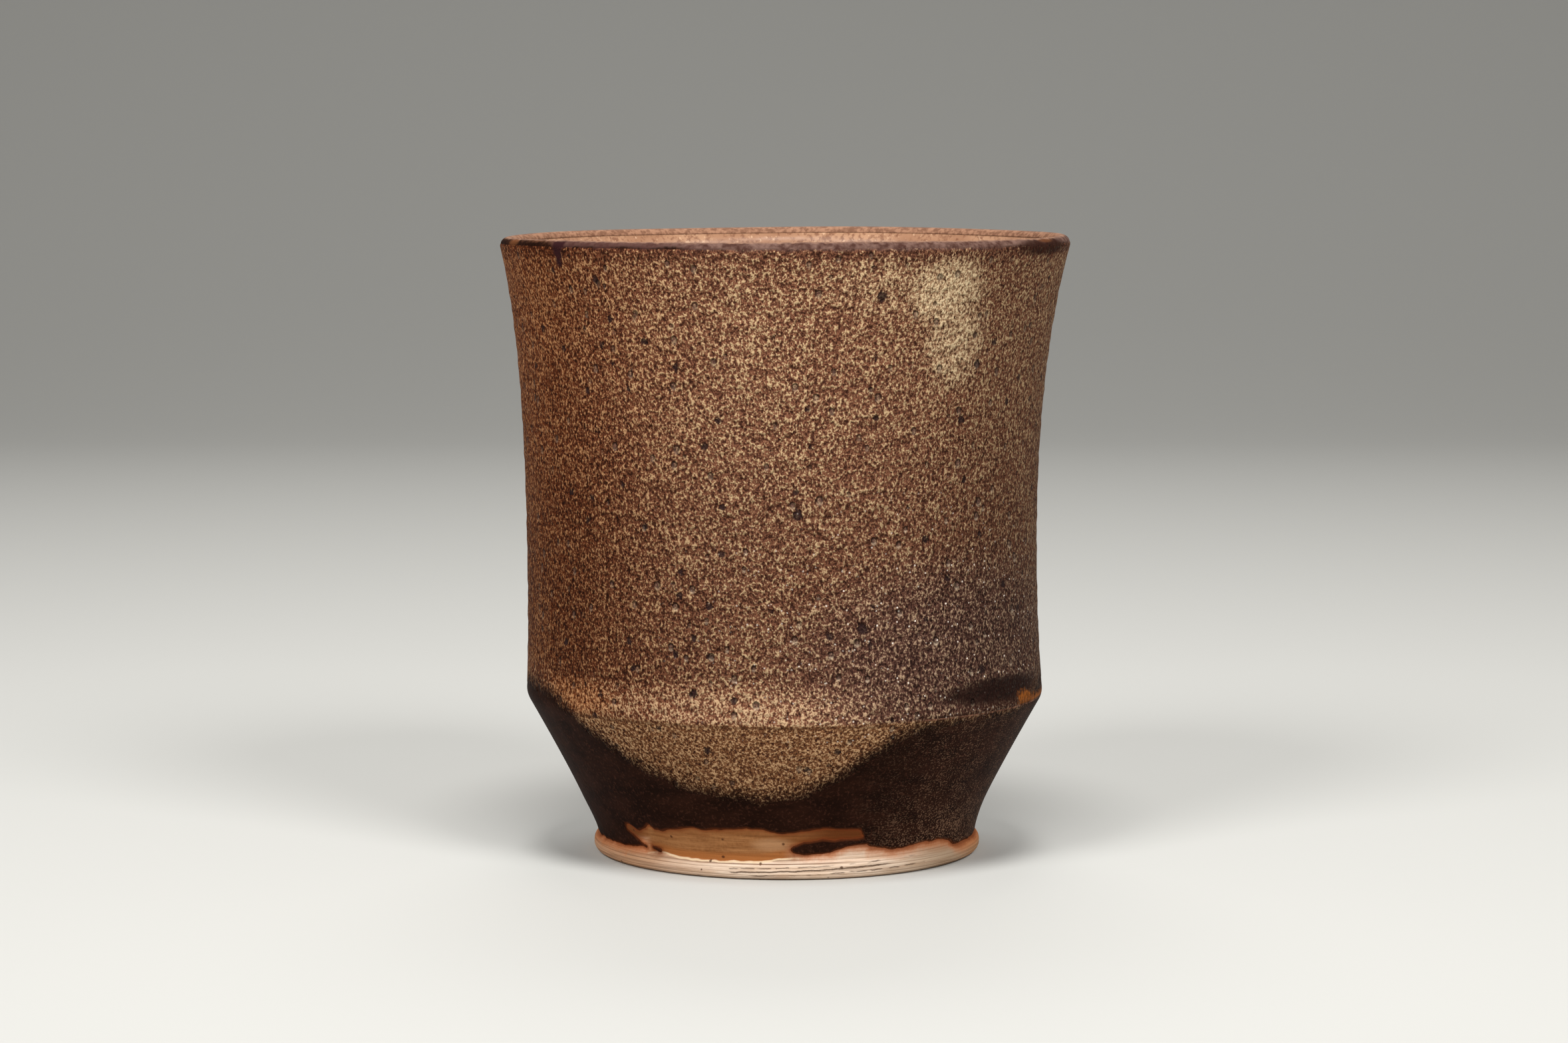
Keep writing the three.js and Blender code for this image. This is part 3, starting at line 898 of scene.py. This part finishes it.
def build_clay():
    recess_edge = (RECESS_RADIUS - RECESS_SLOPE, RECESS_DEPTH)
    recess = straight((0, RECESS_DEPTH), recess_edge, HIDDEN_ROW)
    recess_side = straight(recess_edge, (RECESS_RADIUS, 0), RECESS_ROW)
    sole = straight((RECESS_RADIUS, 0), (FOOT_BASE_RADIUS, 0), SOLE_ROW)
    foot_low = bend((FOOT_BASE_RADIUS, 0), (FOOT_EDGE[0], FOOT_LOW_PULL), FOOT_EDGE, FOOT_ROW)
    foot_top = (NECK[0] - CLAY_UNDER_CONE, NECK[1])
    foot_high = bend(FOOT_EDGE, (FOOT_EDGE[0], NECK[1] - FOOT_TUCK), foot_top, FOOT_ROW)
    foot_side = [(radius - turning_groove(height), height) for radius, height in join(foot_low, foot_high)]
    under_cone = off_path(cone(CONE_ROW), -CLAY_UNDER_CONE)[1:]
    under_wall = off_path(wall(COVERED_ROW), -CLAY_UNDER_WALL)[1:-1]
    under_lip = lip(UNDER_LIP_ROW, inset=CLAY_UNDER_LIP)
    liner_side = join(inside_wall(COVERED_ROW), inside_bowl(HIDDEN_ROW))
    under_liner = off_path(liner_side, -CLAY_UNDER_LINER)[1:-1]
    profile = join(recess, recess_side, sole, foot_side, under_cone, under_wall, under_lip, under_liner)
    profile.append((0, FLOOR_HEIGHT - CLAY_UNDER_LINER))
    mesh = spun(profile, False)
    depths = {"dark_depth": dark_depth, "toast_depth": toast_depth}
    finish_piece("clay_body_dressed", mesh, "clay_body", make_clay(), depths)


def build_dark_glaze():
    toe = (NECK[0] - DARK_TOE[0], NECK[1] - DARK_TOE[1])
    path = join([toe], cone(CONE_ROW), wall(HIDDEN_ROW), lip(LIP_ROW))

    def sink(height, values):
        bare = 1 - step_up(*BARE_FADE, values["dark_depth"])
        under_lip = 1 - step_up(*DARK_LIP_FADE, height)
        covered = step_up(*COVERED_FADE, values["speckled_depth"]) * under_lip
        return -DARK_BARE_SINK * bare - DARK_UNDER_SPECKLED * covered

    mesh = spun(coat_ring(path, DARK_THICKNESS), True)
    depths = {"dark_depth": dark_depth, "speckled_depth": speckled_depth, "lip_turn": lip_turn}
    finish_piece("dark_glaze_dressed", mesh, "dark_glaze", make_dark_glaze(), depths, sink)


def build_speckled_glaze():
    on_cone = [point for point in cone(LOBE_ROW) if point[1] > SPECKLED_START]
    path = join(on_cone, wall(WALL_ROW), lip(LIP_ROW, end=SPECKLED_LIP_END))

    def sink(height, values):
        over_dip = step_up(*DIP_FADE, values["speckled_depth"])
        under_lip = 1 - step_up(*SPECKLED_LIP_FADE, height)
        return SPECKLED_RISE * over_dip * under_lip - SPECKLED_SINK

    mesh = spun(coat_ring(path, SPECKLED_THICKNESS), True)
    depths = {"speckled_depth": speckled_depth}
    finish_piece("speckled_glaze_dressed", mesh, "speckled_glaze", make_speckled_glaze(),
                 depths, sink)


def build_liner_glaze():
    path = join(inside_wall(HIDDEN_ROW), inside_bowl(HIDDEN_ROW))
    under = off_path(path, -LINER_THICKNESS)
    under[-1] = (0, under[-1][1])
    mesh = spun(under[::-1] + path, False)
    finish_piece("liner_glaze_dressed", mesh, "liner_glaze", make_liner_glaze(), {})


# Stage, in metres

# How far the floor reaches from the cup's axis, and the backdrop's height, bend and steps in the bend.
FLOOR_REACH = 1.6
BACKDROP_HEIGHT = 2
BACKDROP_ROUND = 0.8
BACKDROP_STEPS = 24

# Softboxes: name, place, width and power. All of them point at the same place in the cup.
SOFTBOXES = [
    ("left_softbox", (-0.62, -0.85, 0.85), 0.5, 3.0),
    ("right_softbox", (0.62, -0.85, 0.85), 0.5, 3.0),
    ("top_softbox", (0.0, -0.45, 1.2), 0.4, 2.4),
    ("back_softbox", (0.0, 0.75, 0.95), 0.6, 1.1),
]
SOFTBOX_AIM = Vector((0, 0, 0.05))
SOFTBOX_SPREAD = math.radians(100)

# Light that comes from all round.
AIR_COLOUR = (1.0, 0.99, 0.97, 1)
AIR_STRENGTH = 0.22

# Camera, as fitted to the photographed rim, foot and outline: millimetres and degrees.
CAMERA_DISTANCE = 635.8
CAMERA_HEIGHT = 111.5
CAMERA_TILT_DOWN = 5.526
CAMERA_LENS = 96.5
CAMERA_SENSOR = 36


def build_stage():
    """A pale floor that sweeps up into a backdrop."""
    mesh = bmesh.new()
    bmesh.ops.create_grid(mesh, x_segments=1, y_segments=1, size=FLOOR_REACH)
    back = [edge for edge in mesh.edges if all(vert.co.y > 0 for vert in edge.verts)]
    raised = bmesh.ops.extrude_edge_only(mesh, edges=back)["geom"]
    top = [item for item in raised if isinstance(item, bmesh.types.BMVert)]
    bmesh.ops.translate(mesh, verts=top, vec=(0, 0, BACKDROP_HEIGHT))
    bmesh.ops.bevel(mesh, geom=back, offset=BACKDROP_ROUND, offset_type="OFFSET", affect="EDGES",
                    segments=BACKDROP_STEPS, profile=0.5, material=-1)
    bmesh.ops.recalc_face_normals(mesh, faces=mesh.faces)
    data = bpy.data.meshes.new("studio_floor")
    mesh.to_mesh(data)
    mesh.free()
    data.shade_smooth()
    floor = bpy.data.objects.new("studio_floor", data)
    bpy.context.collection.objects.link(floor)
    paper = bpy.data.materials.new("pale_paper")
    paper.use_nodes = True
    shader = paper.node_tree.nodes["Principled BSDF"]
    shader.inputs["Base Color"].default_value = paint(198, 197, 192)
    shader.inputs["Roughness"].default_value = 0.9
    shader.inputs["Specular IOR Level"].default_value = 0.2
    data.materials.append(paper)


def build_softbox(name, place, width, power):
    lamp = bpy.data.lights.new(name, "AREA")
    lamp.shape = "DISK"
    lamp.size = width
    lamp.energy = power
    lamp.spread = SOFTBOX_SPREAD
    holder = bpy.data.objects.new(name, lamp)
    holder.location = place
    aim = SOFTBOX_AIM - holder.location
    holder.rotation_euler = aim.to_track_quat("-Z", "Y").to_euler()
    bpy.context.collection.objects.link(holder)


def build_light():
    for softbox in SOFTBOXES:
        build_softbox(*softbox)
    world = bpy.data.worlds.new("studio_air")
    world.use_nodes = True
    background = world.node_tree.nodes["Background"]
    background.inputs["Color"].default_value = AIR_COLOUR
    background.inputs["Strength"].default_value = AIR_STRENGTH
    bpy.context.scene.world = world


def build_camera():
    lens = bpy.data.cameras.new("front_camera")
    lens.sensor_fit = "HORIZONTAL"
    lens.sensor_width = CAMERA_SENSOR
    lens.lens = CAMERA_LENS
    camera = bpy.data.objects.new("front_camera", lens)
    camera.location = (0, -CAMERA_DISTANCE * MM, CAMERA_HEIGHT * MM)
    camera.rotation_euler = (math.radians(90 - CAMERA_TILT_DOWN), 0, 0)
    bpy.context.collection.objects.link(camera)
    bpy.context.scene.camera = camera


build_clay()
build_dark_glaze()
build_speckled_glaze()
build_liner_glaze()
build_stage()
build_light()
build_camera()
bpy.context.scene.view_settings.view_transform = "Standard"
